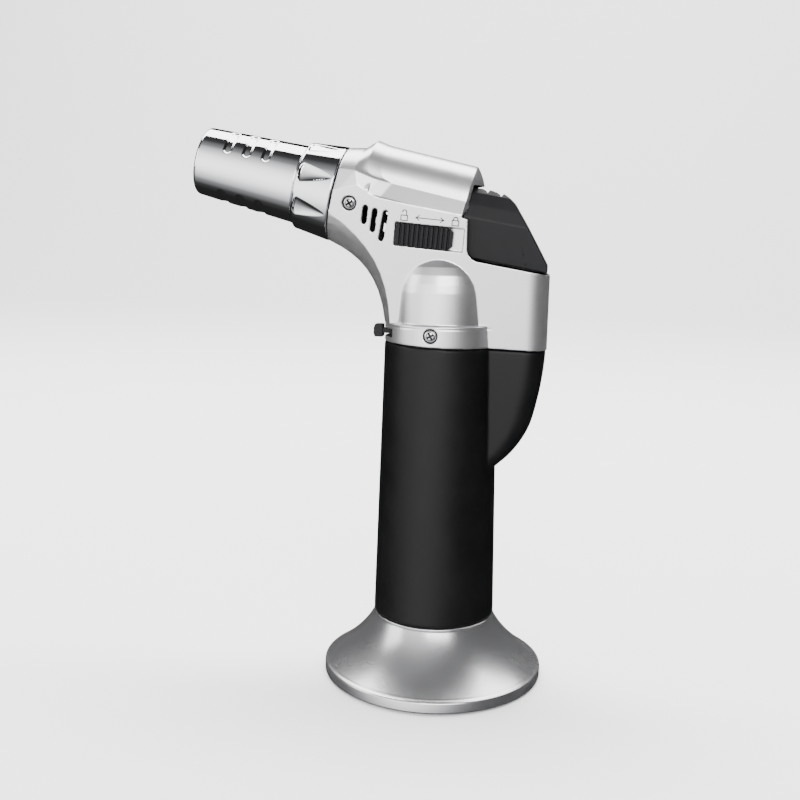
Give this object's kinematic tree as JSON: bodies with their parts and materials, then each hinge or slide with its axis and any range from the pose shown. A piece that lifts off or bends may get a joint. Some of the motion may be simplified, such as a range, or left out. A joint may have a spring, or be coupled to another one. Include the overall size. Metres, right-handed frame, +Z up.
{
  "type": "butane torch",
  "caption": "Hand-held butane torch with a round stand, tank handle, angled chrome nozzle, thumb trigger with spark igniter and a slide lock.",
  "frame": {"origin": "under the middle of the torch's bounding box, on the plane that the base stands on", "axes": "+Z up along the handle, +X towards the flame end, +Y towards the side with the lock slider"},
  "size_m": [0.0872, 0.0538, 0.1324],
  "materials": {
    "satin_silver": "satin metallic silver paint",
    "chrome": "mirror chrome plate",
    "black_sleeve": "satin black soft-touch moulding",
    "black_plastic": "satin black moulding",
    "dark_plastic": "dark grey moulding",
    "white_plastic": "off-white moulding",
    "clear_tank": "pale translucent moulding",
    "clear_hose": "pale flexible tube",
    "black_rubber": "black nitrile rubber",
    "cream": "cream porous wick",
    "ceramic": "glazed off-white ceramic",
    "red_lead": "red insulated wire",
    "brass": "turned brass",
    "steel": "bright steel",
    "stainless": "heat-stained stainless steel",
    "cast_metal": "die-cast zinc, as cast"
  },
  "bodies": {
    "torch": {"base_stand": "satin_silver", "handle_sleeve": "black_sleeve", "fuel_tank": "clear_tank", "tank_cap": "black_plastic", "wick_tube": "cream", "outlet_valve_body": "brass", "lever_pin": "steel", "refill_valve_body": "brass", "refill_valve_spring": "steel", "refill_gasket": "black_rubber", "nozzle_barrel": "chrome", "nozzle_collar": "chrome", "burner_mount": "cast_metal", "gas_jet": "brass", "mixing_tube": "brass", "burner_tip": "stainless", "electrode_insulator": "ceramic", "electrode": "steel", "ignition_lead": "red_lead", "piezo_body": "dark_plastic", "piezo_spring": "steel", "gas_hose": "clear_hose", "head_shell_left": "satin_silver", "head_shell_right": "satin_silver", "front_screw": "steel", "band_screw_left": "steel", "band_screw_right": "steel"},
    "trigger": {"trigger": "black_plastic"},
    "piezo_plunger": {"piezo_plunger": "white_plastic"},
    "valve_lever": {"valve_lever": "black_plastic"},
    "valve_stem": {"outlet_valve_stem": "brass"},
    "lock_slider": {"lock_slider": "black_plastic", "lock_bar": "dark_plastic"},
    "flame_adjuster": {"flame_adjuster": "black_plastic"},
    "refill_stem": {"refill_valve_stem": "steel"}
  },
  "joints": [
    {"name": "trigger_slide", "type": "slide", "parent": "torch", "child": "trigger", "axis": [0.9854, 0, 0.1702], "range_m": [0, 0.0045], "stiffness_N_per_m": 900, "springref_m": -0.004},
    {"name": "plunger_slide", "type": "slide", "parent": "torch", "child": "piezo_plunger", "axis": [0.9854, 0, 0.1702], "range_m": [0, 0.0045], "deforming": ["piezo_spring"]},
    {"name": "lever_hinge", "type": "hinge", "parent": "torch", "child": "valve_lever", "pos_m": [-0.01335, 0, 0.09], "axis": [0, 1, 0], "range_deg": [0, 19]},
    {"name": "stem_slide", "type": "slide", "parent": "torch", "child": "valve_stem", "axis": [0, 0, 1], "range_m": [0, 0.0011]},
    {"name": "lock_slide", "type": "slide", "parent": "torch", "child": "lock_slider", "axis": [-0.9963, -0.0102, -0.0848], "range_m": [0, 0.002]},
    {"name": "flame_dial", "type": "hinge", "parent": "torch", "child": "flame_adjuster", "pos_m": [-0.01675, 0, 0.0852], "axis": [0, 0, 1], "range_deg": [-24, 24]},
    {"name": "refill_slide", "type": "slide", "parent": "torch", "child": "refill_stem", "axis": [0, 0, 1], "range_m": [0, 0.0015], "stiffness_N_per_m": 600, "springref_m": -0.001, "deforming": ["refill_valve_spring"]}
  ],
  "couplings": [
    {"joint": "plunger_slide", "follows": "trigger_slide", "ratio": 1},
    {"joint": "lever_hinge", "follows": "trigger_slide", "rad_per_m": 70},
    {"joint": "stem_slide", "follows": "trigger_slide", "ratio": 0.24}
  ]
}
